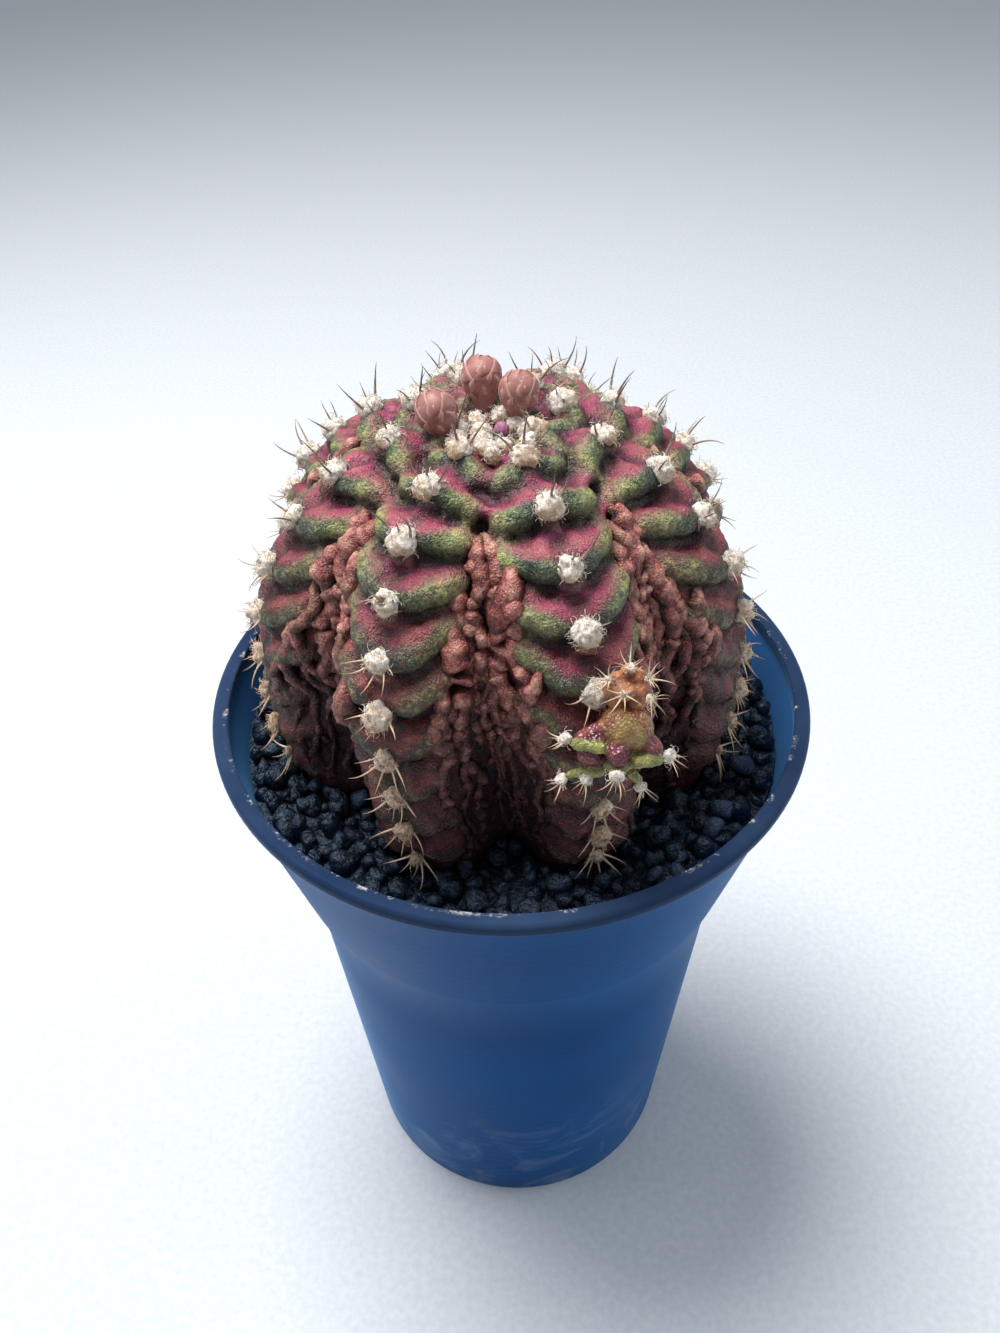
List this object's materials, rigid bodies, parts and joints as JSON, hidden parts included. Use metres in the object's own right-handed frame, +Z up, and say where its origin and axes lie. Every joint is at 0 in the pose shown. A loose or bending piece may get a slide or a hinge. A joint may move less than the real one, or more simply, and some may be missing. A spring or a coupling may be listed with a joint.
{
  "type": "potted t-rex gymnocalycium",
  "caption": "Round warty chin cactus with knobbly ribs, white areoles, spines, flower buds and pups, set in black grit in a tall tapered plastic nursery pot.",
  "frame": {"origin": "centre of the pot's foot, on the surface that it stands on", "axes": "+Z up along the pot's axis, -Y towards the side with the pups (the viewer's side of the picture), +X to the viewer's right"},
  "size_m": [0.078, 0.078, 0.1386],
  "materials": {
    "pot_plastic": "satin moulded blue plastic",
    "potting_mix": "dry crumbly potting mix",
    "grit": "dull near-black angular grit",
    "cactus_flesh": "finely grained waxy skin, green rolls and magenta slopes",
    "bud": "smooth dusty pink-brown scales",
    "green_pup": "glossy olive and maroon skin",
    "dried_pup": "dry brown papery skin"
  },
  "bodies": {
    "root": {"pot": "pot_plastic", "potting_mix": "potting_mix", "grit": "grit", "cactus": "cactus_flesh", "flower_bud_1": "bud", "flower_bud_2": "bud", "flower_bud_3": "bud", "green_pup": "green_pup", "dried_pup": "dried_pup"}
  },
  "joints": []
}
